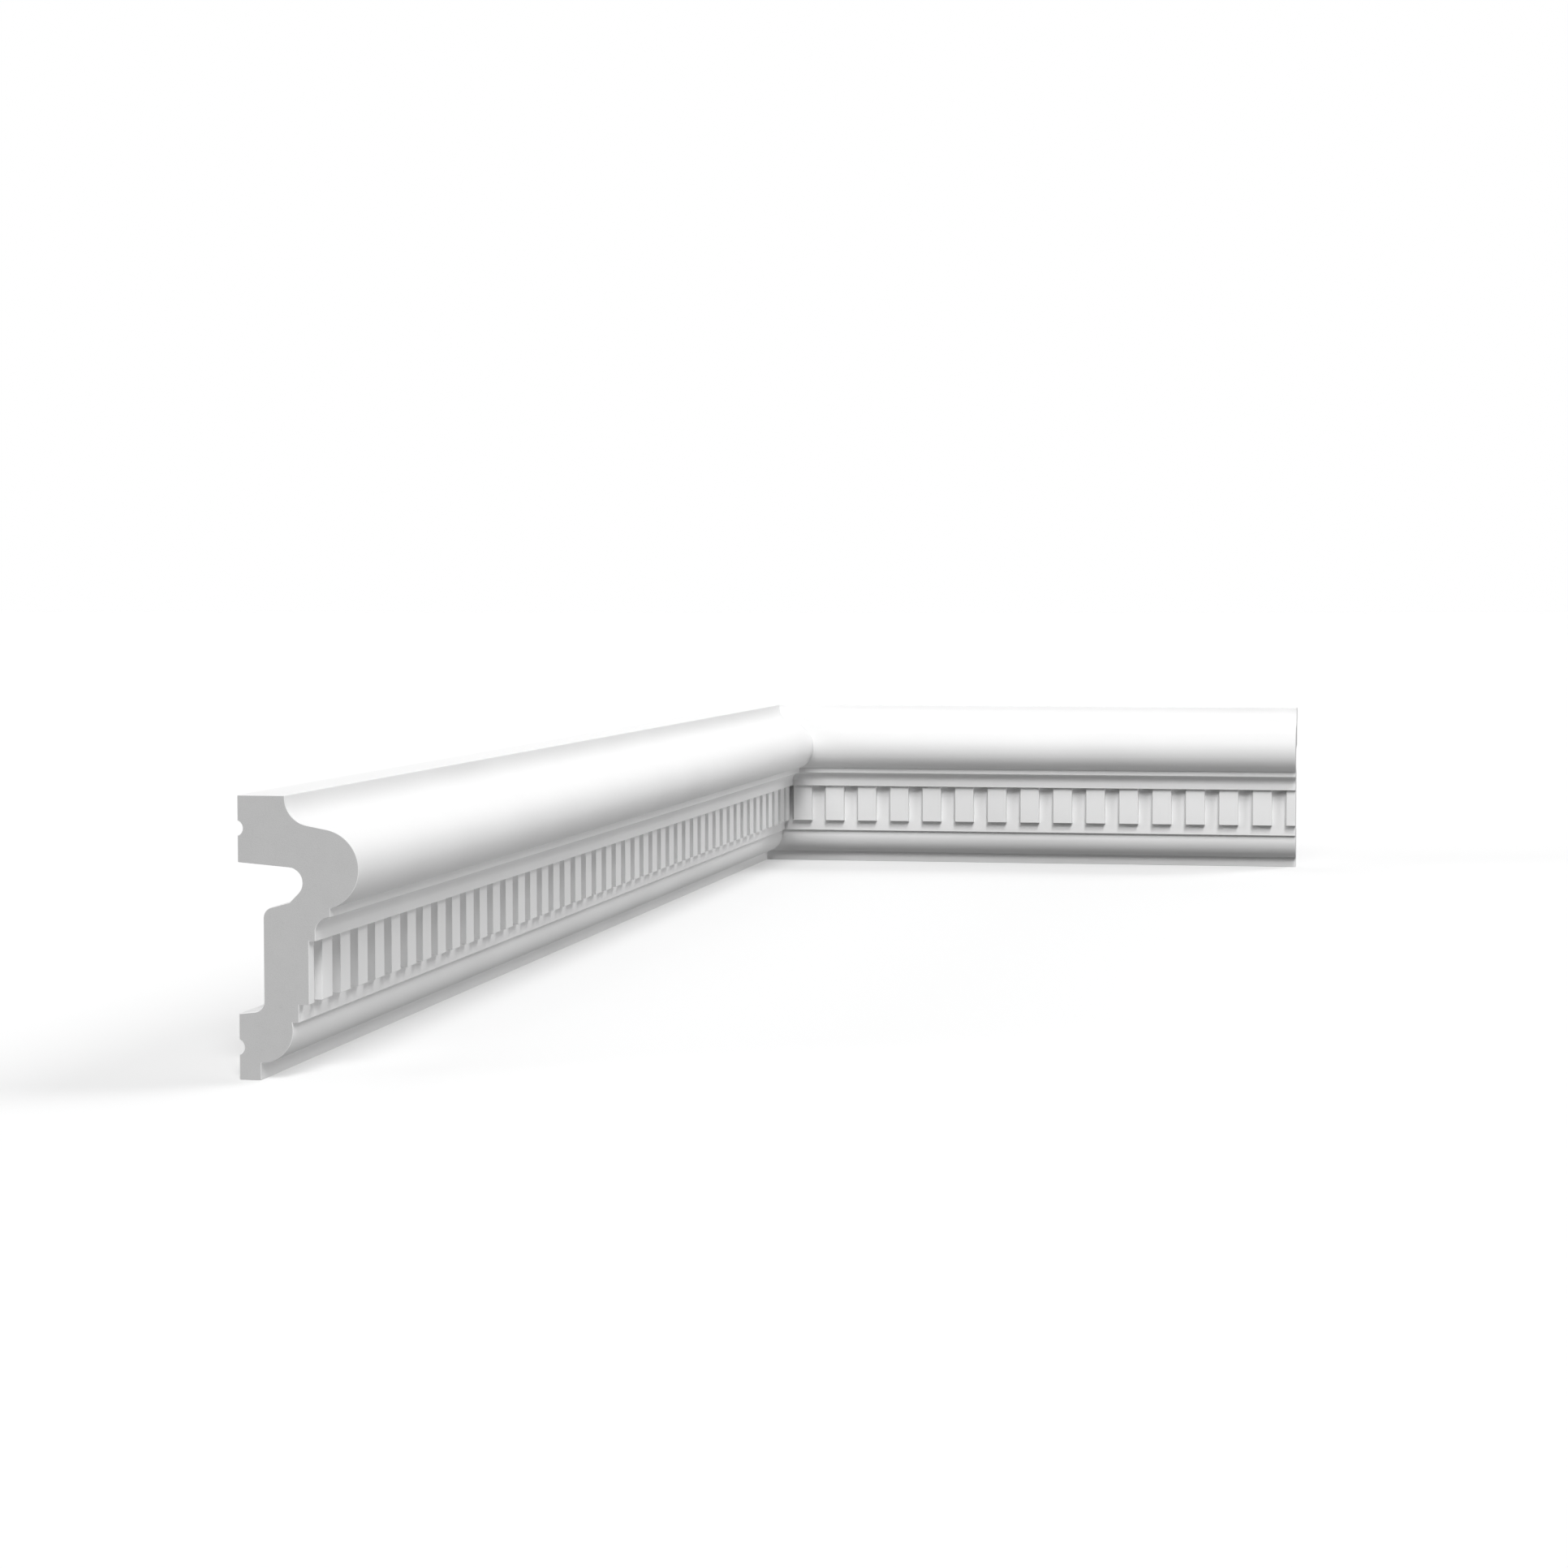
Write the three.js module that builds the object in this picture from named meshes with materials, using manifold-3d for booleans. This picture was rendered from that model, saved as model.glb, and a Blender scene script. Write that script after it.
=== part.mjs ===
// A dado rail with a dentil row, mitred for an inside corner.
// Two lengths of one cast moulding meet at the mitre: a long one and a short return.
// Millimetres, +Z up. The long length runs along Y and the short one along X, the rail
// stands on its underside at Z = 0, and the origin is under the middle of its outline.

import * as THREE from 'three';
import { mergeVertices } from 'three/addons/utils/BufferGeometryUtils.js';
import Module from 'manifold-3d';

const wasm = await Module();
wasm.setup();

// The two lengths, measured along their backs from the corner to the square-cut end
const longLength = 886;
const shortLength = 310;
const mitreGap = 0.3;

// Members of the front, from the underside up. A depth is measured out from the back face.
const baseFilletDepth = 7.15;
const baseFilletHeight = 5.4;
const ovoloRadius = 10.6;
const ovoloShoulder = 2.4;
const ledgeDepth = 2.2;
const friezeStripHeight = 5.8;
const dentilHeight = 20;
const dentilProjection = 3.45;
const dripOverhang = 2.1;
const dripFaceHeight = 2.8;
const coveRadius = 4.85;
const coveFilletHeight = 2.75;
const torusRadius = 12.75;
const torusReturn = 3.3;
const ogeeSlope = THREE.MathUtils.degToRad(10.7);
const ogeeFlat = 6.6;
const cavettoRadius = 8.75;
const topFilletHeight = 0.7;

// Dentils, and the bare stretch that each length keeps between the mitre and its first dentil
const dentilWidth = 10.48;
const dentilSpace = 8.16;
const longCornerSpace = 0.45;
const shortCornerSpace = 2.2;
const dentilRoot = 1;

// The hollow back, which leaves a flat land above and below it to be glued on
const upperLandHeight = 21.15;
const lowerLandHeight = 21;
const friezeWall = 11.4;
const pocketDepth = 21.1;
const pocketRadius = 4.8;
const pocketDraft = THREE.MathUtils.degToRad(4.8);
const pocketRamp = THREE.MathUtils.degToRad(45);
const pocketRampDrop = 2.9;
const shelfSlope = THREE.MathUtils.degToRad(15);
const shelfRadius = 3.5;
const floorDraft = THREE.MathUtils.degToRad(6.4);
const floorRadius = 3.5;

// A round groove for adhesive in each land
const grooveRadius = 2.5;
const grooveDepth = 1.7;
const grooveInset = 10.4;

// Fineness of the round stretches, and how far a cutting solid reaches past what it cuts
const facetAngle = THREE.MathUtils.degToRad(8);
const cutMargin = 10;

// Places that follow from the sizes above
const ovoloCentreHeight = baseFilletHeight + ovoloRadius;
const ovoloTopAngle = Math.asin(ovoloShoulder / ovoloRadius);
const ledgeHeight = ovoloCentreHeight + ovoloShoulder;
const friezeDepth = baseFilletDepth + ovoloRadius * Math.cos(ovoloTopAngle) + ledgeDepth;
const dentilBottom = ledgeHeight + friezeStripHeight;
const soffitHeight = dentilBottom + dentilHeight;
const dentilFront = friezeDepth + dentilProjection;
const dripDepth = dentilFront + dripOverhang;
const coveCentreHeight = soffitHeight + dripFaceHeight;
const coveFilletDepth = dripDepth + coveRadius;
const torusFootHeight = coveCentreHeight + coveRadius + coveFilletHeight;
const torusFootAngle = -Math.acos(torusReturn / torusRadius);
const torusCentreDepth = coveFilletDepth - torusReturn;
const torusCentreHeight = torusFootHeight - torusRadius * Math.sin(torusFootAngle);
const torusFront = torusCentreDepth + torusRadius;
const radiusSum = torusRadius + cavettoRadius;
const cavettoCentreDepth = torusCentreDepth + radiusSum * Math.sin(ogeeSlope) - ogeeFlat * Math.cos(ogeeSlope);
const cavettoCentreHeight = torusCentreHeight + radiusSum * Math.cos(ogeeSlope) + ogeeFlat * Math.sin(ogeeSlope);
const topFilletDepth = cavettoCentreDepth - cavettoRadius;
const railHeight = cavettoCentreHeight + topFilletHeight;

// Points along an arc from one angle to another, anticlockwise when the angle grows
function arc(centreDepth, centreHeight, radius, from, to) {
  const steps = Math.ceil(Math.abs(to - from) / facetAngle);
  const points = [];
  for (let step = 0; step <= steps; step += 1) {
    const angle = from + ((to - from) * step) / steps;
    const depth = centreDepth + radius * Math.cos(angle);
    points.push(new THREE.Vector2(depth, centreHeight + radius * Math.sin(angle)));
  }
  return points;
}

// The arc that rounds the corner between two straight stretches and touches both
function roundedCorner(before, corner, after, radius) {
  const back = before.clone().sub(corner);
  const ahead = after.clone().sub(corner);
  const halfAngle = Math.acos(back.dot(ahead) / (back.length() * ahead.length())) / 2;
  const room = Math.min(back.length(), ahead.length()) * Math.tan(halfAngle);
  const fitted = Math.min(radius, room);
  const middle = back.normalize().add(ahead.normalize()).normalize();
  const centre = corner.clone().addScaledVector(middle, fitted / Math.sin(halfAngle));
  const turn = Math.sign(back.cross(ahead)) * (Math.PI / 2 - halfAngle);
  const towardsCorner = middle.negate().angle();
  return arc(centre.x, centre.y, fitted, towardsCorner + turn, towardsCorner - turn);
}

// Front of the section, from the underside up to the top
function frontOutline() {
  const point = (depth, height) => new THREE.Vector2(depth, height);
  const ogeeEnd = Math.PI / 2 - ogeeSlope;
  return [
    point(baseFilletDepth, 0),
    ...arc(baseFilletDepth, ovoloCentreHeight, ovoloRadius, -Math.PI / 2, ovoloTopAngle),
    point(friezeDepth, ledgeHeight),
    point(friezeDepth, soffitHeight),
    point(dripDepth, soffitHeight),
    ...arc(coveFilletDepth, coveCentreHeight, coveRadius, Math.PI, Math.PI / 2),
    point(coveFilletDepth, torusFootHeight),
    ...arc(torusCentreDepth, torusCentreHeight, torusRadius, torusFootAngle, ogeeEnd).slice(1),
    ...arc(cavettoCentreDepth, cavettoCentreHeight, cavettoRadius, ogeeEnd - Math.PI, -Math.PI),
    point(topFilletDepth, railHeight),
  ];
}

// One adhesive groove, crossed from its upper lip to its lower lip
function grooveOutline(centreHeight) {
  const centreDepth = grooveDepth - grooveRadius;
  const lipAngle = Math.acos(-centreDepth / grooveRadius);
  return arc(centreDepth, centreHeight, grooveRadius, lipAngle, -lipAngle);
}

// The hollow between the two lands, from its roof down to its floor
function hollowOutline() {
  const roofHeight = railHeight - upperLandHeight;
  const hollowDepth = friezeDepth - friezeWall;
  const pocketCentreDepth = pocketDepth - pocketRadius;
  const roofFall = pocketCentreDepth * Math.tan(pocketDraft) + pocketRadius / Math.cos(pocketDraft);
  const pocketCentreHeight = roofHeight - roofFall;
  const pocketEnd = arc(
    pocketCentreDepth,
    pocketCentreHeight,
    pocketRadius,
    Math.PI / 2 - pocketDraft,
    -pocketRamp,
  );
  const rampTop = pocketEnd[pocketEnd.length - 1];
  const lip = new THREE.Vector2(rampTop.x - pocketRampDrop / Math.tan(pocketRamp), rampTop.y - pocketRampDrop);
  const shelfFall = (lip.x - hollowDepth) * Math.tan(shelfSlope);
  const shelfCorner = new THREE.Vector2(hollowDepth, lip.y - shelfFall);
  const floorLip = new THREE.Vector2(0, lowerLandHeight);
  const floorCorner = new THREE.Vector2(hollowDepth, lowerLandHeight + hollowDepth * Math.tan(floorDraft));
  return [
    new THREE.Vector2(0, roofHeight),
    ...pocketEnd,
    lip,
    ...roundedCorner(lip, shelfCorner, floorCorner, shelfRadius),
    ...roundedCorner(shelfCorner, floorCorner, floorLip, floorRadius),
    floorLip,
  ];
}

// The whole section: the front going up, then the back coming down
function sectionShape() {
  return new THREE.Shape([
    new THREE.Vector2(0, 0),
    ...frontOutline(),
    new THREE.Vector2(0, railHeight),
    ...grooveOutline(railHeight - grooveInset),
    ...hollowOutline(),
    ...grooveOutline(grooveInset),
  ]);
}

function toSolid(geometry) {
  geometry.deleteAttribute('normal');
  geometry.deleteAttribute('uv');
  const merged = mergeVertices(geometry);
  const mesh = new wasm.Mesh({
    numProp: 3,
    vertProperties: merged.getAttribute('position').array,
    triVerts: Uint32Array.from(merged.getIndex().array),
  });
  return new wasm.Manifold(mesh);
}

function toGeometry(solid) {
  const mesh = solid.getMesh();
  const geometry = new THREE.BufferGeometry();
  geometry.setAttribute('position', new THREE.BufferAttribute(mesh.vertProperties, 3));
  geometry.setIndex(new THREE.BufferAttribute(mesh.triVerts, 1));
  geometry.computeVertexNormals();
  return geometry;
}

// Plain moulding as it is cast, before any saw: back face on x = 0, running along y
function castStock(length, direction) {
  const reach = length + cutMargin;
  const stock = new THREE.ExtrudeGeometry(sectionShape(), { depth: reach, bevelEnabled: false });
  stock.rotateX(Math.PI / 2);
  stock.translate(0, direction > 0 ? reach : 0, 0);
  return toSolid(stock);
}

// One dentil, sunk a little into the frieze behind it and the soffit above it
function dentil(start, direction) {
  const block = new THREE.BoxGeometry(
    dentilProjection + dentilRoot,
    dentilWidth,
    dentilHeight + dentilRoot,
  );
  block.translate(
    dentilFront - (dentilProjection + dentilRoot) / 2,
    direction * (start + dentilWidth / 2),
    dentilBottom + (dentilHeight + dentilRoot) / 2,
  );
  return toSolid(block);
}

// What the saws leave of the stock, seen from above: mitred at the corner, square at the end
function sawnPlan(length, direction) {
  const inner = -cutMargin;
  const outer = torusFront + cutMargin;
  const kerf = (mitreGap / 2) * Math.SQRT2;
  const plan = new THREE.Shape([
    new THREE.Vector2(inner, direction * (inner + kerf)),
    new THREE.Vector2(outer, direction * (outer + kerf)),
    new THREE.Vector2(outer, direction * length),
    new THREE.Vector2(inner, direction * length),
  ]);
  const depth = railHeight + 2 * cutMargin;
  const prism = new THREE.ExtrudeGeometry(plan, { depth, bevelEnabled: false });
  prism.translate(0, 0, -cutMargin);
  return toSolid(prism);
}

// A finished length runs from the corner at y = 0 towards -y or +y, as direction says
function railLength(length, cornerSpace, direction) {
  let rail = castStock(length, direction);
  const pitch = dentilWidth + dentilSpace;
  for (let start = dentilFront + cornerSpace; start < length; start += pitch) {
    rail = rail.add(dentil(start, direction));
  }
  return toGeometry(rail.intersect(sawnPlan(length, direction)));
}

function whitePrimer() {
  return new THREE.MeshStandardMaterial({ color: 0xf2f2f0, roughness: 0.55, metalness: 0 });
}

const longRail = new THREE.Mesh(railLength(longLength, longCornerSpace, -1), whitePrimer());
longRail.name = 'long_length';

const shortRail = new THREE.Mesh(railLength(shortLength, shortCornerSpace, 1), whitePrimer());
shortRail.name = 'short_length';
shortRail.rotation.z = -Math.PI / 2;

const rail = new THREE.Group();
rail.add(longRail, shortRail);
rail.position.set(-shortLength / 2, longLength / 2, 0);

export default rail;
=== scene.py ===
# %% [markdown]
# A dado rail with a row of dentils, mitred for an inside corner.
# The real one is cast in a dense, light foam and sprayed with a white primer. Two lengths of the
# same moulding are sawn at 45 degrees and meet at a mitre, and their other ends are sawn square.
# Everything here is in metres. The rail stands on its underside, with Z pointing up.

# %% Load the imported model
import math
from collections import namedtuple

import bmesh
import bpy
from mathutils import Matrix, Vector


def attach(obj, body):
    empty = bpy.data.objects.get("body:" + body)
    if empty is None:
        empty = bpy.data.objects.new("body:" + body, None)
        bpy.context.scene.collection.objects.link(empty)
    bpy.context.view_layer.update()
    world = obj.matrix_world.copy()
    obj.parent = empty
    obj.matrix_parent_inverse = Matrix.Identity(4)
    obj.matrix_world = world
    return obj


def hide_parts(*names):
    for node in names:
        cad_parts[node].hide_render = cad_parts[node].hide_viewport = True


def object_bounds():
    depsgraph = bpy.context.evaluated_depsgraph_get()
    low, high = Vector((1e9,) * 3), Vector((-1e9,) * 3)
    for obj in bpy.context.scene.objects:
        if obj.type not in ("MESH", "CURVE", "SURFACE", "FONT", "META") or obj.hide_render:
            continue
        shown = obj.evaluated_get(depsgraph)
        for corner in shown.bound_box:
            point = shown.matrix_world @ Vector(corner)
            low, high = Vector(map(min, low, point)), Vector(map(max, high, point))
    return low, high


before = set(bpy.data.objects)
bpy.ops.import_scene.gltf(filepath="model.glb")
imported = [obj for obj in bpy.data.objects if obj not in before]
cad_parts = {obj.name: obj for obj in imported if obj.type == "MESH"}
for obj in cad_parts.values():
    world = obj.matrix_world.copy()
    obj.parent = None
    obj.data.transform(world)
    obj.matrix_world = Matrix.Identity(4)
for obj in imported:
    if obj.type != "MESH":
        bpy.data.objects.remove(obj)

cad_box = [list(corner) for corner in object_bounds()]
print("frame box", cad_box)

# %% [markdown]
# The back corner and the two lengths come from the loaded model, so the fine rail can't drift away
# from it; the model's height is only printed, beside them. The back corner is where the two back
# faces would meet.

# %% Lengths and corner from the frame
low, high = Vector(cad_box[0]), Vector(cad_box[1])
BACK_CORNER = Vector((low.x, high.y, low.z))
LONG_LENGTH = high.y - low.y
SHORT_LENGTH = high.x - low.x
print("long", round(LONG_LENGTH, 4), "short", round(SHORT_LENGTH, 4), "height", round(high.z, 4))

# %% [markdown]
# A moulding is known by its members, the strips and rounds that follow each other up its front.
# From the underside up these are a fillet, a quarter round, a flat frieze with the dentils, a
# drip, a small cove, a fillet, a bold torus that runs on into a cavetto, and a thin top fillet.
# Each member has one or two sizes of its own, and the places below are worked out from them,
# so one size can change and the others follow.

# %% Sizes of the front members
MM = 0.001
BASE_FILLET_DEPTH = 7.15 * MM
BASE_FILLET_HEIGHT = 5.4 * MM
OVOLO_RADIUS = 10.6 * MM
OVOLO_SHOULDER = 2.4 * MM
LEDGE_DEPTH = 2.2 * MM
FRIEZE_STRIP_HEIGHT = 5.8 * MM
DENTIL_HEIGHT = 20 * MM
DENTIL_PROJECTION = 3.45 * MM
DRIP_OVERHANG = 2.1 * MM
DRIP_FACE_HEIGHT = 2.8 * MM
COVE_RADIUS = 4.85 * MM
COVE_FILLET_HEIGHT = 2.75 * MM
TORUS_RADIUS = 12.75 * MM
TORUS_RETURN = 3.3 * MM
OGEE_SLOPE = math.radians(10.7)
OGEE_FLAT = 6.6 * MM
CAVETTO_RADIUS = 8.75 * MM
TOP_FILLET_HEIGHT = 0.7 * MM

OVOLO_CENTRE = BASE_FILLET_HEIGHT + OVOLO_RADIUS
OVOLO_TOP_ANGLE = math.asin(OVOLO_SHOULDER / OVOLO_RADIUS)
LEDGE = OVOLO_CENTRE + OVOLO_SHOULDER
FRIEZE = BASE_FILLET_DEPTH + OVOLO_RADIUS * math.cos(OVOLO_TOP_ANGLE) + LEDGE_DEPTH
DENTIL_BOTTOM = LEDGE + FRIEZE_STRIP_HEIGHT
SOFFIT = DENTIL_BOTTOM + DENTIL_HEIGHT
DENTIL_FRONT = FRIEZE + DENTIL_PROJECTION
DRIP = DENTIL_FRONT + DRIP_OVERHANG
COVE_CENTRE = SOFFIT + DRIP_FACE_HEIGHT
COVE_FILLET = DRIP + COVE_RADIUS
TORUS_FOOT = COVE_CENTRE + COVE_RADIUS + COVE_FILLET_HEIGHT
TORUS_FOOT_ANGLE = -math.acos(TORUS_RETURN / TORUS_RADIUS)
TORUS_CENTRE_HEIGHT = TORUS_FOOT - TORUS_RADIUS * math.sin(TORUS_FOOT_ANGLE)
TORUS_CENTRE = Vector((COVE_FILLET - TORUS_RETURN, TORUS_CENTRE_HEIGHT))
OGEE_AWAY = Vector((math.sin(OGEE_SLOPE), math.cos(OGEE_SLOPE)))
OGEE_ALONG = Vector((-math.cos(OGEE_SLOPE), math.sin(OGEE_SLOPE)))
CAVETTO_CENTRE = TORUS_CENTRE + OGEE_AWAY * (TORUS_RADIUS + CAVETTO_RADIUS) + OGEE_ALONG * OGEE_FLAT
TOP_FILLET = CAVETTO_CENTRE.x - CAVETTO_RADIUS
RAIL_HEIGHT = CAVETTO_CENTRE.y + TOP_FILLET_HEIGHT
print("height from the members", round(RAIL_HEIGHT, 5), "against", round(high.z - low.z, 5))

# %% [markdown]
# The back is hollow, which saves foam and leaves two flat lands for the glue. Each land has a
# round groove where the spare glue goes. The hollow has a deep round pocket behind the torus.

# %% Sizes of the back
UPPER_LAND = 21.15 * MM
LOWER_LAND = 21 * MM
FRIEZE_THICKNESS = 11.4 * MM
POCKET_DEPTH = 21.1 * MM
POCKET_RADIUS = 4.8 * MM
POCKET_DRAFT = math.radians(4.8)
POCKET_RAMP = math.radians(45)
POCKET_RAMP_DROP = 2.9 * MM
SHELF_SLOPE = math.radians(15)
HOLLOW_FILLET = 3.5 * MM
FLOOR_DRAFT = math.radians(6.4)
GROOVE_RADIUS = 2.5 * MM
GROOVE_DEPTH = 1.7 * MM
GROOVE_INSET = 10.4 * MM
print("hollow behind the frieze", round((FRIEZE - FRIEZE_THICKNESS) / MM, 2), "mm deep")

# %% [markdown]
# Arcs make every round stretch. A finer step is used on the front, where light rolls over the
# torus, and a coarser one in the hollow, which faces away. Where a stretch is too short for its
# fillet, the fillet is made smaller, and always leaves a little of the stretch straight.

# %% Arcs and fillets
FRONT_STEP = math.radians(4)
COVE_STEP = math.radians(6)
BACK_STEP = math.radians(11)
ROOM_TAKEN = 0.9
ROUNDING = 1e-6


def arc(centre, radius, start, end, step):
    """Points along an arc from one angle to another, anticlockwise when the angle grows."""
    count = math.ceil(abs(end - start) / step - ROUNDING)
    angles = [start + (end - start) * index / count for index in range(count + 1)]
    return [Vector(centre) + radius * Vector((math.cos(a), math.sin(a))) for a in angles]


def fillet(before, corner, after, radius, step):
    """The arc that touches both stretches of a corner, no longer than they have room for."""
    back, ahead = before - corner, after - corner
    half = back.angle(ahead) / 2
    fitted = min(radius, ROOM_TAKEN * min(back.length, ahead.length) * math.tan(half))
    middle = (back.normalized() + ahead.normalized()).normalized()
    turn = math.copysign(math.pi / 2 - half, back.x * ahead.y - back.y * ahead.x)
    outwards = math.atan2(-middle.y, -middle.x)
    return arc(corner + middle * fitted / math.sin(half), fitted, outwards + turn, outwards - turn, step)


quarter = arc((0, 0), 1, 0, math.pi / 2, FRONT_STEP)
print("a quarter round has", len(quarter) - 1, "facets")

# %% [markdown]
# The outline goes round the section once: out along the underside, up the front, back along the
# top and down the hollow back. A Turn is one corner of it. Sharp outer corners are marked as an
# arris, because no cast or sanded edge is truly sharp, and a rounded edge catches the light.
# The corners with a push of 1 belong to the dentils: they stand out by the dentils' projection
# where there is a dentil, and lie in the frieze between two of them.

# %% The outline of the section
DENTIL_DRAFT = 0.15 * MM
Turn = namedtuple("Turn", "at arris push", defaults=(False, 0))


def plain(points):
    return [Turn(point) for point in points]


def front_turns():
    ogee_end = math.pi / 2 - OGEE_SLOPE
    ovolo_centre = (BASE_FILLET_DEPTH, OVOLO_CENTRE)
    cove = arc((COVE_FILLET, COVE_CENTRE), COVE_RADIUS, math.pi, math.pi / 2, COVE_STEP)
    torus = arc(TORUS_CENTRE, TORUS_RADIUS, TORUS_FOOT_ANGLE, ogee_end, FRONT_STEP)
    return [
        Turn(Vector((0, 0)), arris=True),
        Turn(Vector((BASE_FILLET_DEPTH, 0)), arris=True),
        *plain(arc(ovolo_centre, OVOLO_RADIUS, -math.pi / 2, OVOLO_TOP_ANGLE, FRONT_STEP)),
        Turn(Vector((FRIEZE, LEDGE)), arris=True),
        Turn(Vector((FRIEZE, DENTIL_BOTTOM - DENTIL_DRAFT))),
        Turn(Vector((DENTIL_FRONT, DENTIL_BOTTOM)), arris=True, push=1),
        Turn(Vector((DENTIL_FRONT, SOFFIT)), push=1),
        Turn(Vector((DRIP, SOFFIT)), arris=True),
        *plain(cove[:-1]),
        Turn(cove[-1], arris=True),
        *plain(torus),
        *plain(arc(CAVETTO_CENTRE, CAVETTO_RADIUS, ogee_end - math.pi, -math.pi, FRONT_STEP)),
        Turn(Vector((TOP_FILLET, RAIL_HEIGHT)), arris=True),
        Turn(Vector((0, RAIL_HEIGHT)), arris=True),
    ]


def groove_turns(height):
    centre = GROOVE_DEPTH - GROOVE_RADIUS
    lip = math.acos(-centre / GROOVE_RADIUS)
    return plain(arc((centre, height), GROOVE_RADIUS, lip, -lip, BACK_STEP))


def hollow_turns():
    roof = RAIL_HEIGHT - UPPER_LAND
    hollow = FRIEZE - FRIEZE_THICKNESS
    centre_depth = POCKET_DEPTH - POCKET_RADIUS
    roof_fall = centre_depth * math.tan(POCKET_DRAFT) + POCKET_RADIUS / math.cos(POCKET_DRAFT)
    pocket_start = math.pi / 2 - POCKET_DRAFT
    pocket = arc((centre_depth, roof - roof_fall), POCKET_RADIUS, pocket_start, -POCKET_RAMP, BACK_STEP)
    lip = pocket[-1] - Vector((POCKET_RAMP_DROP / math.tan(POCKET_RAMP), POCKET_RAMP_DROP))
    shelf_corner = Vector((hollow, lip.y - (lip.x - hollow) * math.tan(SHELF_SLOPE)))
    floor_corner = Vector((hollow, LOWER_LAND + hollow * math.tan(FLOOR_DRAFT)))
    floor_lip = Vector((0, LOWER_LAND))
    return [
        Turn(Vector((0, roof)), arris=True),
        *plain(pocket),
        Turn(lip, arris=True),
        *plain(fillet(lip, shelf_corner, floor_corner, HOLLOW_FILLET, BACK_STEP)),
        *plain(fillet(shelf_corner, floor_corner, floor_lip, HOLLOW_FILLET, BACK_STEP)),
        Turn(floor_lip, arris=True),
    ]


turns = [
    *front_turns(),
    *groove_turns(RAIL_HEIGHT - GROOVE_INSET),
    *hollow_turns(),
    *groove_turns(GROOVE_INSET),
]
print(len(turns), "corners, of which", sum(turn.arris for turn in turns), "are an arris")

# %% [markdown]
# Two things happen to that outline. Each arris becomes a tiny arc. And each point gets an inset,
# the way it moves when the outline shrinks by one saw-edge width, because the sawn ends are
# eased all round by a stroke of sandpaper, also inside the hollow. The points of one arris move
# almost as one and draw together a little, as the corner of a shrinking outline does.

# %% Arrises and insets
ARRIS_RADIUS = 0.25 * MM
ARRIS_STEP = math.radians(30)
ARRIS_KEPT = 0.2
SAW_EDGE = 0.2 * MM


def inward(start, end):
    """The unit normal of a stretch that points into the foam."""
    ahead = (end - start).normalized()
    return Vector((-ahead.y, ahead.x))


def section_points():
    """Each point of the finished section as its depth, height, push and inset."""
    points = []
    for index, turn in enumerate(turns):
        before, after = turns[index - 1].at, turns[(index + 1) % len(turns)].at
        first, second = inward(before, turn.at), inward(turn.at, after)
        inset = (first + second) / (1 + first.dot(second)) * SAW_EDGE
        rounded = fillet(before, turn.at, after, ARRIS_RADIUS, ARRIS_STEP) if turn.arris else [turn.at]
        for point in rounded:
            drawn_in = (turn.at - point) * (1 - ARRIS_KEPT)
            push = (point.x - FRIEZE) / DENTIL_PROJECTION if turn.push else 0
            depth = FRIEZE if turn.push else point.x
            points.append((Vector((depth, point.y, push)), inset + drawn_in))
    return points


section = section_points()
print("the section has", len(section), "points")

# %% [markdown]
# The section becomes a closed loop of edges. A vertex holds only a position, so the depth and
# height go in X and Y and the push in Z, and the inset is stored beside it as an attribute. The
# node tree further down reads all of them.

# %% Section loop for the node tree


def template(name, points, closed=False):
    """A hidden helper mesh whose points the node tree reads."""
    mesh = bpy.data.meshes.new(name)
    count = len(points)
    edges = [(index, (index + 1) % count) for index in range(count)] if closed else []
    mesh.from_pydata(points, edges, [])
    return bpy.data.objects.new(name, mesh)


section_loop = template("section_loop", [position for position, _ in section], closed=True)
inset_layer = section_loop.data.attributes.new("inset", "FLOAT_VECTOR", "POINT")
for value, (position, inset) in zip(inset_layer.data, section):
    value.vector = (*inset, 0)
print("section loop", len(section_loop.data.edges), "edges")

# %% [markdown]
# Dentils are the small blocks in a row under the drip. Seen from above, one dentil is a step out
# of the frieze and back, with its two front edges rounded. Its points hold how far along the
# dentil they are in X, and the share of the projection that they reach in Y. The sides lean by a
# hair, the draft that lets a casting out of its mould.

# %% Plan of one dentil
DENTIL_WIDTH = 10.48 * MM
DENTIL_SPACE = 8.16 * MM
DENTIL_PITCH = DENTIL_WIDTH + DENTIL_SPACE
EDGE_STEP = math.radians(45)


def dentil_plan():
    radius = ARRIS_RADIUS
    corner = arc((radius, DENTIL_PROJECTION - radius), radius, math.pi, math.pi / 2, EDGE_STEP)
    rise = [(-DENTIL_DRAFT, 0), *[(point.x, point.y / DENTIL_PROJECTION) for point in corner]]
    fall = [(DENTIL_WIDTH - along, share) for along, share in reversed(rise)]
    return [Vector((along, share, 0)) for along, share in rise + fall]


dentil_steps = template("dentil_steps", dentil_plan())
print("a dentil has", len(dentil_steps.data.vertices), "steps along the rail")

# %% [markdown]
# The square end is sawn through the last dentil, and its edge is eased over. Its stations
# hold the distance from the saw cut in X, a full dentil in Y, and how much of the inset has
# been taken in Z. They follow a quarter circle.

# %% Stations of the sawn end
SAW_STEPS = 3
saw_angles = [math.pi / 2 * step / SAW_STEPS for step in range(SAW_STEPS + 1)]
saw_stations = [Vector((SAW_EDGE * (math.sin(a) - 1), 1, 1 - math.cos(a))) for a in saw_angles]
saw_steps = template("saw_steps", saw_stations)
print("saw stations", [tuple(round(value, 5) for value in vertex.co) for vertex in saw_steps.data.vertices])

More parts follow.
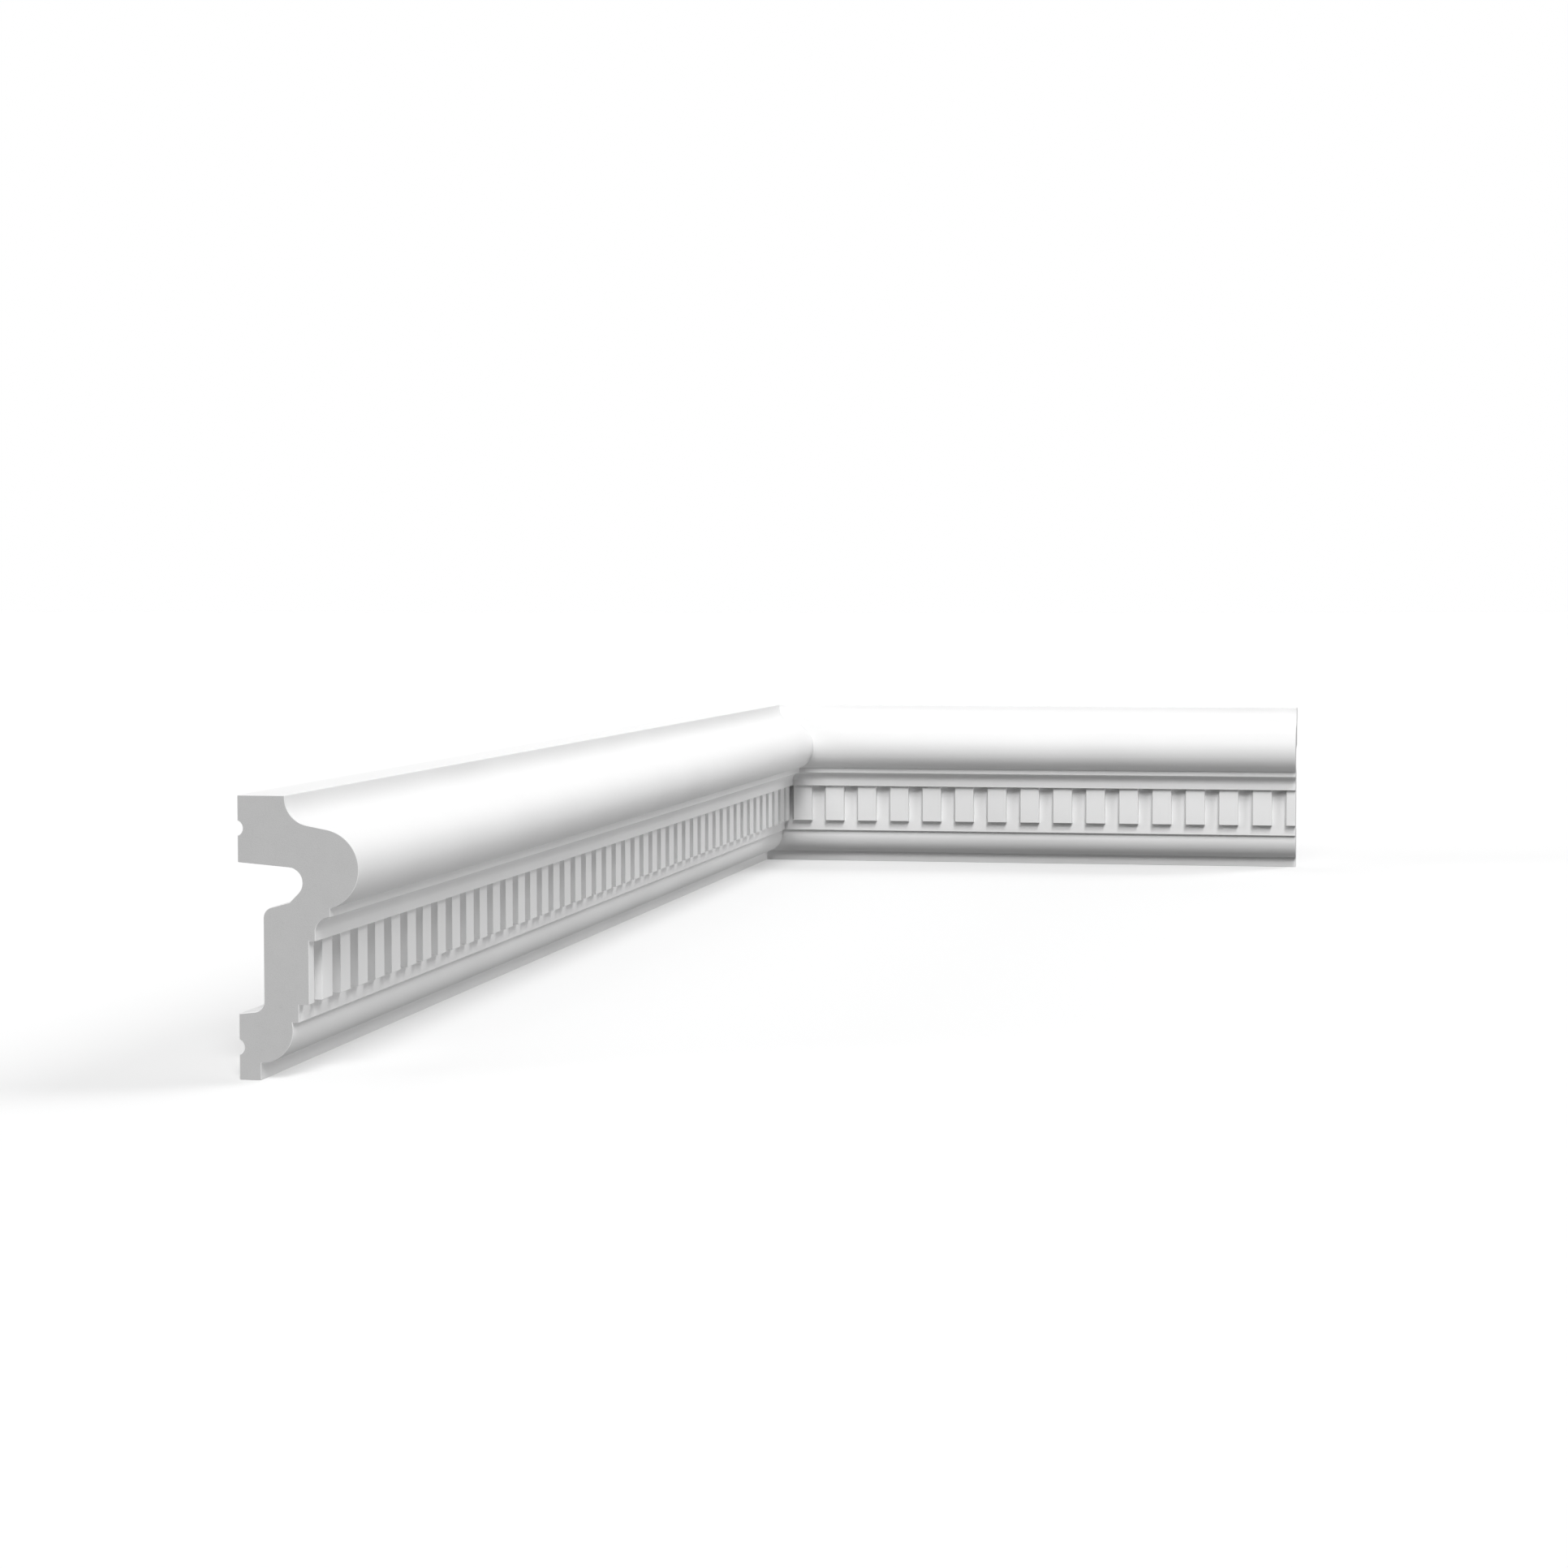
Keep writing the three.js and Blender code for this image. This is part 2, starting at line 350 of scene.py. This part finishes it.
# %% [markdown]
# Geometry Nodes suit a moulding well: one section, swept along one line, with the same dentil
# again and again. The line is built as a row of stations. The dentil plan is instanced along it
# at its pitch, what lies past the saw cut is deleted, the mitre and the eased end are added, and
# Curve to Mesh sweeps the section through them all. A last Set Position reads the attributes and
# puts every point at its true depth, height and distance along the rail.
#
# These few helpers keep the tree readable: each adds a node and wires its inputs in one call.

# %% Helpers for node trees


def add(tree, kind, inputs=(), **settings):
    """Adds a node with its settings, and wires or fills its inputs by name or number."""
    node = tree.nodes.new(kind)
    for name, value in settings.items():
        setattr(node, name, value)
    for key, value in dict(inputs).items():
        if isinstance(value, bpy.types.NodeSocket):
            tree.links.new(value, node.inputs[key])
        else:
            node.inputs[key].default_value = value
    return node


def maths(tree, operation, *values):
    return add(tree, "ShaderNodeMath", enumerate(values), operation=operation).outputs[0]


def vector_maths(tree, operation, *values):
    return add(tree, "ShaderNodeVectorMath", enumerate(values), operation=operation).outputs[0]


def scaled(tree, vector, factor):
    return add(tree, "ShaderNodeVectorMath", {0: vector, "Scale": factor}, operation="SCALE").outputs[0]


def split(tree, vector):
    return add(tree, "ShaderNodeSeparateXYZ", {0: vector}).outputs


def store(tree, geometry, name, value):
    inputs = {"Geometry": geometry, "Name": name, "Value": value}
    return add(tree, "GeometryNodeStoreNamedAttribute", inputs, data_type="FLOAT_VECTOR").outputs[0]


def stored(tree, name):
    read = add(tree, "GeometryNodeInputNamedAttribute", {"Name": name}, data_type="FLOAT_VECTOR")
    return split(tree, read.outputs[0])


print("helpers made: add, maths, vector_maths, scaled, split, store and stored")

# %% [markdown]
# The tree's inputs have names, so the same tree makes the long and the short length. An outline
# point runs out to the mitre by as much as it stands proud of the frieze, and this lean fades to
# nothing at the square end. Straight members look the same for it, and no dentil leans. The
# sweep is made of strips with four corners, so the faces with more corners are the two cuts.

# %% The tree that makes a length of rail
TREE_INPUTS = {
    "Section": "NodeSocketObject",
    "Dentil": "NodeSocketObject",
    "Sawn End": "NodeSocketObject",
    "Length": "NodeSocketFloat",
    "Mitre Start": "NodeSocketFloat",
    "First Dentil": "NodeSocketFloat",
    "Pitch": "NodeSocketFloat",
    "Projection": "NodeSocketFloat",
    "Frieze Depth": "NodeSocketFloat",
    "Saw Edge": "NodeSocketFloat",
    "Corner": "NodeSocketVector",
    "Along": "NodeSocketVector",
    "Outwards": "NodeSocketVector",
    "Turn Faces": "NodeSocketBool",
    "Primer": "NodeSocketMaterial",
    "Sawn Foam": "NodeSocketMaterial",
}
SHARP_ANGLE = math.radians(50)
STRIP_CORNERS = 4


def station_line(tree, given):
    """Stations along the rail: distance in X, share of a dentil in Y, share of the inset in Z."""
    span = maths(tree, "SUBTRACT", given["Length"], given["First Dentil"])
    count = maths(tree, "CEIL", maths(tree, "DIVIDE", span, given["Pitch"]))
    first = add(tree, "ShaderNodeCombineXYZ", {"X": given["First Dentil"]}).outputs[0]
    pitch = add(tree, "ShaderNodeCombineXYZ", {"X": given["Pitch"]}).outputs[0]
    starts = add(tree, "GeometryNodeMeshLine", {"Count": count, "Start Location": first, "Offset": pitch})
    dentil = add(tree, "GeometryNodeObjectInfo", {"Object": given["Dentil"]})
    placed = {"Points": starts.outputs[0], "Instance": dentil.outputs["Geometry"]}
    row = add(tree, "GeometryNodeInstanceOnPoints", placed)
    row = add(tree, "GeometryNodeRealizeInstances", {0: row.outputs[0]})
    place = split(tree, add(tree, "GeometryNodeInputPosition").outputs[0])
    last = maths(tree, "SUBTRACT", given["Length"], given["Saw Edge"])
    past = add(tree, "FunctionNodeCompare", {0: place["X"], 1: last}, operation="GREATER_EQUAL")
    row = add(tree, "GeometryNodeDeleteGeometry", {0: row.outputs[0], "Selection": past.outputs[0]})
    start = add(tree, "ShaderNodeCombineXYZ", {"X": given["Mitre Start"]}).outputs[0]
    mitre = add(tree, "GeometryNodeMeshLine", {"Count": 1, "Start Location": start})
    saw = add(tree, "GeometryNodeObjectInfo", {"Object": given["Sawn End"]})
    cut = add(tree, "ShaderNodeCombineXYZ", {"X": given["Length"]}).outputs[0]
    end = add(tree, "GeometryNodeTransform", {0: saw.outputs["Geometry"], "Translation": cut})
    joined = add(tree, "GeometryNodeJoinGeometry")
    for piece in (end, row, mitre):
        tree.links.new(piece.outputs[0], joined.inputs[0])
    return add(tree, "GeometryNodeMeshToPoints", {0: joined.outputs[0]}).outputs[0]


def sweep(tree, given):
    """The section swept through the stations, with both of them stored on the mesh."""
    position = add(tree, "GeometryNodeInputPosition").outputs[0]
    stations = store(tree, station_line(tree, given), "station", position)
    distance = stored(tree, "station")["X"]
    flat = add(tree, "ShaderNodeCombineXYZ", {"X": distance}).outputs[0]
    line = add(tree, "GeometryNodeSetPosition", {0: stations, "Position": flat})
    path = add(tree, "GeometryNodePointsToCurves", {0: line.outputs[0], "Weight": distance})
    loop = add(tree, "GeometryNodeObjectInfo", {"Object": given["Section"]})
    outline = store(tree, loop.outputs["Geometry"], "outline", position)
    profile = add(tree, "GeometryNodeMeshToCurve", {0: outline})
    swept = {"Curve": path.outputs[0], "Profile Curve": profile.outputs[0], "Fill Caps": True}
    return add(tree, "GeometryNodeCurveToMesh", swept).outputs[0]


def true_position(tree, given):
    """Where a point belongs, from its station, outline and inset."""
    station, outline, inset = stored(tree, "station"), stored(tree, "outline"), stored(tree, "inset")
    out = maths(tree, "MULTIPLY", maths(tree, "MULTIPLY", outline["Z"], station["Y"]), given["Projection"])
    eased = maths(tree, "MULTIPLY", inset["X"], station["Z"])
    depth = maths(tree, "ADD", maths(tree, "ADD", outline["X"], out), eased)
    height = maths(tree, "ADD", outline["Y"], maths(tree, "MULTIPLY", inset["Y"], station["Z"]))
    to_go = maths(tree, "SUBTRACT", given["Length"], station["X"])
    whole = maths(tree, "SUBTRACT", given["Length"], given["Mitre Start"])
    proud = maths(tree, "SUBTRACT", outline["X"], given["Frieze Depth"])
    lean = maths(tree, "MULTIPLY", proud, maths(tree, "DIVIDE", to_go, whole))
    along = scaled(tree, given["Along"], maths(tree, "ADD", station["X"], lean))
    outwards = scaled(tree, given["Outwards"], depth)
    up = add(tree, "ShaderNodeCombineXYZ", {"Z": height}).outputs[0]
    level = vector_maths(tree, "ADD", vector_maths(tree, "ADD", given["Corner"], along), outwards)
    return vector_maths(tree, "ADD", level, up)


def rail_tree():
    tree = bpy.data.node_groups.new("length_of_rail", "GeometryNodeTree")
    for name, kind in TREE_INPUTS.items():
        tree.interface.new_socket(name, in_out="INPUT", socket_type=kind)
    tree.interface.new_socket("Rail", in_out="OUTPUT", socket_type="NodeSocketGeometry")
    given = add(tree, "NodeGroupInput").outputs
    swept = sweep(tree, given)
    placed = add(tree, "GeometryNodeSetPosition", {0: swept, "Position": true_position(tree, given)})
    turned = add(tree, "GeometryNodeFlipFaces", {0: placed.outputs[0], "Selection": given["Turn Faces"]})
    corners = add(tree, "GeometryNodeInputMeshFaceNeighbors").outputs["Vertex Count"]
    counted = {2: corners, 3: STRIP_CORNERS}
    is_cut = add(tree, "FunctionNodeCompare", counted, data_type="INT", operation="GREATER_THAN")
    cut_faces = is_cut.outputs[0]
    flat_cuts = {0: turned.outputs[0], "Selection": cut_faces, "Shade Smooth": False}
    shaded = add(tree, "GeometryNodeSetShadeSmooth", flat_cuts, domain="FACE")
    angle = add(tree, "GeometryNodeInputMeshEdgeAngle").outputs["Unsigned Angle"]
    is_sharp = add(tree, "FunctionNodeCompare", {0: angle, 1: SHARP_ANGLE}, operation="GREATER_THAN")
    sharp_edges = {0: shaded.outputs[0], "Selection": is_sharp.outputs[0], "Shade Smooth": False}
    creased = add(tree, "GeometryNodeSetShadeSmooth", sharp_edges, domain="EDGE")
    real = add(tree, "GeometryNodeRealizeInstances", {0: creased.outputs[0]})
    primed = add(tree, "GeometryNodeSetMaterial", {0: real.outputs[0], "Material": given["Primer"]})
    sawn_faces = {0: primed.outputs[0], "Selection": cut_faces, "Material": given["Sawn Foam"]}
    sawn = add(tree, "GeometryNodeSetMaterial", sawn_faces)
    add(tree, "NodeGroupOutput", {0: sawn.outputs[0]})
    return tree


rail_nodes = rail_tree()
print("rail tree", len(rail_nodes.nodes), "nodes", len(rail_nodes.links), "links")

# %% [markdown]
# White primer is a matt water-based paint, sprayed on in the factory. Up close it has the faint
# pimples of spray, and it is a little thicker and smoother in some places than in others. Two
# noises do this: a fine one for the surface, and a broad one that shifts the sheen.

# %% White primer
SPRAY_GRAIN = 1.3 * MM
SPRAY_RELIEF = 0.03 * MM
SPRAY_STRENGTH = 0.35
BROAD_GRAIN = 60 * MM
PRIMER_GREYS = (0.86, 0.885)
PRIMER_ROUGHNESS = (0.5, 0.6)
PRIMER_SPECULAR = 0.4
NOISE_LOW = 0.3
NOISE_HIGH = 0.7


def material(name):
    """An empty material with its tree, shader and the place of the point on the rail."""
    made = bpy.data.materials.new(name)
    made.use_nodes = True
    tree = made.node_tree
    tree.nodes.clear()
    shader = add(tree, "ShaderNodeBsdfPrincipled")
    add(tree, "ShaderNodeOutputMaterial", {0: shader.outputs[0]})
    place = add(tree, "ShaderNodeTexCoord").outputs["Object"]
    return made, tree, shader, place


def noise(tree, place, grain, detail=2.0, roughness=0.5):
    """Noise whose blobs are about as wide as grain, in metres."""
    inputs = {"Vector": place, "Scale": 1 / grain, "Detail": detail, "Roughness": roughness}
    return add(tree, "ShaderNodeTexNoise", inputs).outputs["Fac"]


def ranged(tree, value, low_end, high_end):
    """A noise value, which stays near one half, stretched to run from one number to another."""
    inputs = {0: value, 1: NOISE_LOW, 2: NOISE_HIGH, 3: low_end, 4: high_end}
    return add(tree, "ShaderNodeMapRange", inputs).outputs[0]


def greys(tree, value, first, last):
    """A neutral grey that runs from the first to the last as the value goes from 0 to 1."""
    ends = {0: value, 6: (first, first, first, 1), 7: (last, last, last, 1)}
    return add(tree, "ShaderNodeMix", ends, data_type="RGBA").outputs[2]


def primer():
    made, tree, shader, place = material("sprayed_primer")
    broad = noise(tree, place, BROAD_GRAIN, detail=3)
    spray = noise(tree, place, SPRAY_GRAIN, detail=3, roughness=0.55)
    colour = greys(tree, ranged(tree, broad, 0, 1), *PRIMER_GREYS)
    tree.links.new(colour, shader.inputs["Base Color"])
    tree.links.new(ranged(tree, broad, *PRIMER_ROUGHNESS), shader.inputs["Roughness"])
    pimples = {"Strength": SPRAY_STRENGTH, "Distance": SPRAY_RELIEF, "Height": spray}
    bump = add(tree, "ShaderNodeBump", pimples)
    tree.links.new(bump.outputs[0], shader.inputs["Normal"])
    shader.inputs["Specular IOR Level"].default_value = PRIMER_SPECULAR
    return made


white_primer = primer()
print(white_primer.name, len(white_primer.node_tree.nodes), "nodes")

# %% [markdown]
# A saw opens the foam's cells. The cut is flat and much greyer than the primer: a little of that
# is the foam's own off-white, and the rest is painted shade, the darker tone of a sawn end lying in
# shade. Cells of a dense foam are only a third of a millimetre across, so a Voronoi pattern gives
# them as a shallow bump and a faint speckle.

# %% Sawn foam
CELL = 0.35 * MM
CELL_RELIEF = 0.05 * MM
CELL_STRENGTH = 0.4
PATCH = 6 * MM
PATCH_SHARES = (0.5, 1)
# These greys are painted shade for the most part: the foam itself is only a little off-white.
SAWN_END_SHADE_GREYS = (0.58, 0.52)
FOAM_ROUGHNESS = 0.9
FOAM_SPECULAR = 0.25


def sawn_foam():
    made, tree, shader, place = material("sawn_foam")
    cells = add(tree, "ShaderNodeTexVoronoi", {"Vector": place, "Scale": 1 / CELL}).outputs["Distance"]
    patches = noise(tree, place, PATCH, detail=4)
    speckle = maths(tree, "MULTIPLY", cells, ranged(tree, patches, *PATCH_SHARES))
    colour = greys(tree, speckle, *SAWN_END_SHADE_GREYS)
    tree.links.new(colour, shader.inputs["Base Color"])
    shader.inputs["Roughness"].default_value = FOAM_ROUGHNESS
    shader.inputs["Specular IOR Level"].default_value = FOAM_SPECULAR
    open_cells = {"Strength": CELL_STRENGTH, "Distance": CELL_RELIEF, "Height": cells}
    bump = add(tree, "ShaderNodeBump", open_cells)
    tree.links.new(bump.outputs[0], shader.inputs["Normal"])
    return made


sawn = sawn_foam()
print(sawn.name, len(sawn.node_tree.nodes), "nodes")

# %% [markdown]
# Now the tree runs twice. Each length starts at the mitre, a hair clear of the other one, and
# its first dentil stands a little way past it. The result is turned into a plain mesh, and the
# modifier goes. A Weighted Normal modifier then keeps the flat members flat: their shading
# follows the large faces, and only the arrises bend the light.

# %% Build the two lengths
JOINT_GAP = 0.02 * MM
MITRE_START = FRIEZE + JOINT_GAP / 2 * math.sqrt(2)
LONG_DENTIL_START = 0.45 * MM
SHORT_DENTIL_START = 2.2 * MM


def set_inputs(modifier, values):
    """Sets a modifier's inputs, which are reached by their sockets' identifiers."""
    for item in modifier.node_group.interface.items_tree:
        if item.in_out == "INPUT":
            modifier[item.identifier] = values[item.name]


def rail_length(name, length, dentil_start, along, outwards, turn_faces):
    carrier = bpy.data.objects.new(name + "_carrier", bpy.data.meshes.new(name + "_carrier"))
    bpy.context.collection.objects.link(carrier)
    modifier = carrier.modifiers.new("rail", "NODES")
    modifier.node_group = rail_nodes
    set_inputs(modifier, {
        "Section": section_loop,
        "Dentil": dentil_steps,
        "Sawn End": saw_steps,
        "Length": length,
        "Mitre Start": MITRE_START,
        "First Dentil": DENTIL_FRONT + dentil_start,
        "Pitch": DENTIL_PITCH,
        "Projection": DENTIL_PROJECTION,
        "Frieze Depth": FRIEZE,
        "Saw Edge": SAW_EDGE,
        "Corner": BACK_CORNER,
        "Along": along,
        "Outwards": outwards,
        "Turn Faces": turn_faces,
        "Primer": white_primer,
        "Sawn Foam": sawn,
    })
    evaluated = carrier.evaluated_get(bpy.context.evaluated_depsgraph_get())
    mesh = bpy.data.meshes.new_from_object(evaluated)
    bpy.data.objects.remove(carrier)
    mesh.name = name
    rail = bpy.data.objects.new(name, mesh)
    bpy.context.collection.objects.link(rail)
    weighted = rail.modifiers.new("flat members", "WEIGHTED_NORMAL")
    weighted.keep_sharp = True
    triangles = sum(len(face.vertices) - 2 for face in mesh.polygons)
    print(name, triangles, "triangles in", [finish.name for finish in mesh.materials])
    return rail


TOWARDS_FRONT = Vector((0, -1, 0))
TOWARDS_RIGHT = Vector((1, 0, 0))
long_rail = rail_length(
    "long_rail", LONG_LENGTH, LONG_DENTIL_START, TOWARDS_FRONT, TOWARDS_RIGHT, turn_faces=False
)
short_rail = rail_length(
    "short_rail", SHORT_LENGTH, SHORT_DENTIL_START, TOWARDS_RIGHT, TOWARDS_FRONT, turn_faces=True
)

# %% [markdown]
# A closed mesh with outward faces has a positive volume, so the volume is a quick test that no
# length came out inside out. Each length then takes the place of the plain solid of its own.

# %% Check and hand over the lengths
CUBIC_CM = 1e-6

for rail, node in ((long_rail, "long_length"), (short_rail, "short_length")):
    check = bmesh.new()
    check.from_mesh(rail.data)
    open_edges = sum(not edge.is_manifold for edge in check.edges)
    volume = check.calc_volume(signed=True) / CUBIC_CM
    print(rail.name, "cm3", round(volume, 1), "open edges", open_edges)
    check.free()
    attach(rail, "root")
    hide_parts(node)

# %% [markdown]
# The rail stands on a plain pale floor. A little light of the floor's own lifts it to the white
# of the background, so that no horizon shows, and keeps the rail's shadow on it faint and soft.
# The floor takes part in nothing else: it throws no light back up at the rail, and it doesn't
# stand in the way of the lamps that shine from below.

# %% Floor
FLOOR_HALF = 30
FLOOR_SHADE = 0.65
FLOOR_GLOW = 0.28


def floor():
    mesh = bpy.data.meshes.new("floor")
    corners = [(x * FLOOR_HALF, y * FLOOR_HALF, low.z) for x, y in ((-1, -1), (1, -1), (1, 1), (-1, 1))]
    mesh.from_pydata(corners, [], [(0, 1, 2, 3)])
    made = bpy.data.objects.new("floor", mesh)
    bpy.context.collection.objects.link(made)
    pale, _, shader, _ = material("pale_floor")
    shader.inputs["Base Color"].default_value = (FLOOR_SHADE, FLOOR_SHADE, FLOOR_SHADE, 1)
    shader.inputs["Roughness"].default_value = 1
    shader.inputs["Specular IOR Level"].default_value = 0
    shader.inputs["Emission Color"].default_value = (1, 1, 1, 1)
    shader.inputs["Emission Strength"].default_value = FLOOR_GLOW
    mesh.materials.append(pale)
    made.visible_diffuse = False
    made.visible_glossy = False
    made.visible_shadow = False
    return made


studio_floor = floor()
print("floor", studio_floor.dimensions[:])

# %% [markdown]
# The background is plain white. The rail itself sees only a faint grey sky, told apart from the
# background by a Light Path node, so that its forms are drawn by the lamps and not washed out.

# %% Background
SKY = 0.05


def background():
    world = bpy.data.worlds.new("studio")
    world.use_nodes = True
    tree = world.node_tree
    tree.nodes.clear()
    seen = add(tree, "ShaderNodeLightPath").outputs["Is Camera Ray"]
    strength = add(tree, "ShaderNodeMapRange", {0: seen, 3: SKY, 4: 1.0}).outputs[0]
    shown = add(tree, "ShaderNodeBackground", {"Color": (1, 1, 1, 1), "Strength": strength})
    add(tree, "ShaderNodeOutputWorld", {0: shown.outputs[0]})
    bpy.context.scene.world = world
    return world


studio = background()
print("background", studio.name, "sky", SKY)

# %% [markdown]
# White on white is shaped by its shadows, so the lamps are many and soft. Three shine from the
# front, from low to high: they light the faces and put a short shadow under the drip and the
# torus. The right lamp stands behind on the right. It lights the long length's front and, with
# the far lamp straight behind, whitens the tops. A fill from the left softens the dark side of
# the rounds, and two fills from below lighten the undersides. The rear lamp lights the hollow
# back and lays a soft shadow on the floor. Sun lamps are used because they light the whole
# length evenly, and a wide angle makes their shadows soft.

# %% Lamps
LAMP_DISTANCE = 3


def lamp(name, azimuth, elevation, spread, strength):
    """A far soft lamp. Azimuth 0 is straight in front of the short length, and 90 to its right."""
    light = bpy.data.lights.new(name, "SUN")
    light.energy = strength * math.pi
    light.angle = math.radians(spread)
    made = bpy.data.objects.new(name, light)
    across, up = math.radians(azimuth), math.radians(elevation)
    towards = Vector((math.cos(up) * math.sin(across), -math.cos(up) * math.cos(across), math.sin(up)))
    made.location = towards * LAMP_DISTANCE
    made.rotation_euler = towards.to_track_quat("Z", "Y").to_euler()
    bpy.context.collection.objects.link(made)
    return made


lamps = [
    lamp("front_lamp", azimuth=0, elevation=30, spread=20, strength=0.23),
    lamp("middle_lamp", azimuth=20, elevation=36, spread=14, strength=0.24),
    lamp("key_lamp", azimuth=20, elevation=50, spread=14, strength=0.38),
    lamp("right_lamp", azimuth=125, elevation=40, spread=30, strength=0.43),
    lamp("far_lamp", azimuth=180, elevation=20, spread=40, strength=0.17),
    lamp("left_fill", azimuth=-60, elevation=15, spread=20, strength=0.24),
    lamp("low_front_fill", azimuth=60, elevation=-30, spread=20, strength=0.15),
    lamp("low_back_fill", azimuth=120, elevation=-30, spread=60, strength=0.26),
    lamp("rear_lamp", azimuth=-110, elevation=55, spread=50, strength=0.17),
]
print([made.name for made in lamps])

# %% [markdown]
# The camera stands low and to the right of the long length's end, so the section shows at the
# left and both rows of dentils run to the mitre. A long lens keeps the perspective calm.

# %% Camera
CAMERA_PLACE = Vector((0.1938, -1.4165, 0.1520))
CAMERA_PITCH = math.radians(3.289)
CAMERA_YAW = math.radians(10.159)
SENSOR_WIDTH = 36
LENS = 74.757

camera_data = bpy.data.cameras.new("camera")
camera_data.sensor_width = SENSOR_WIDTH
camera_data.lens = LENS
camera = bpy.data.objects.new("camera", camera_data)
camera.location = CAMERA_PLACE
camera.rotation_euler = (math.pi / 2 - CAMERA_PITCH, 0, CAMERA_YAW)
bpy.context.collection.objects.link(camera)
bpy.context.scene.camera = camera
bpy.context.scene.view_settings.view_transform = "Standard"
print("camera", camera.location[:])
